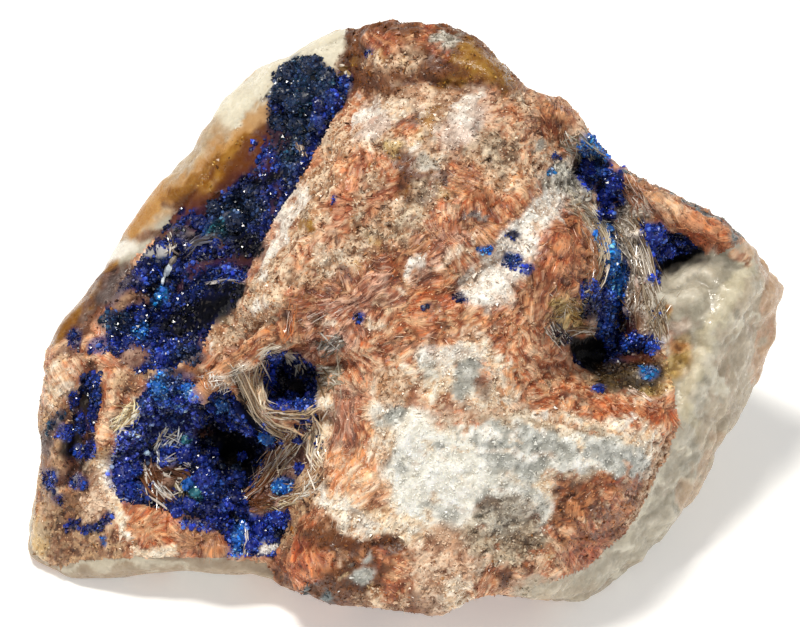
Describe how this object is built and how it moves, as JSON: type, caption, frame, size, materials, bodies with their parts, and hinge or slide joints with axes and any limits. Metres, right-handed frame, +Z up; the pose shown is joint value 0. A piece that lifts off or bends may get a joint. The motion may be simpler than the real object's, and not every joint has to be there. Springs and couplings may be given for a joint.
{
  "type": "azurite mineral specimen",
  "caption": "Hand-size rock specimen with azurite crusts in the hollows of an orange-brown fibrous matrix on a mass of grey-white quartz.",
  "frame": {"origin": "middle of the bounding box on the plane the specimen rests on", "axes": "+X to the right across the azurite face, +Y away from the viewer, +Z up; the face leans back by 45 degrees towards -Y and +Z"},
  "size_m": [0.07, 0.0506, 0.043],
  "materials": {
    "matrix": "salmon-orange to rust-brown fibrous iron-stained rock",
    "quartz": "grey-white translucent massive quartz with honey-brown staining",
    "milky_quartz": "milky sugary quartz",
    "azurite": "deep blue sparkling crystal crust"
  },
  "bodies": {
    "root": {"ochre_matrix": "matrix", "quartz_mass": "quartz", "quartz_lens": "milky_quartz", "azurite_crust_vug": "azurite", "azurite_crust_valley": "azurite", "azurite_crust_cleft": "azurite", "azurite_crust_notch": "azurite", "azurite_crust_pocket": "azurite", "azurite_crust_groove": "azurite"}
  },
  "joints": []
}
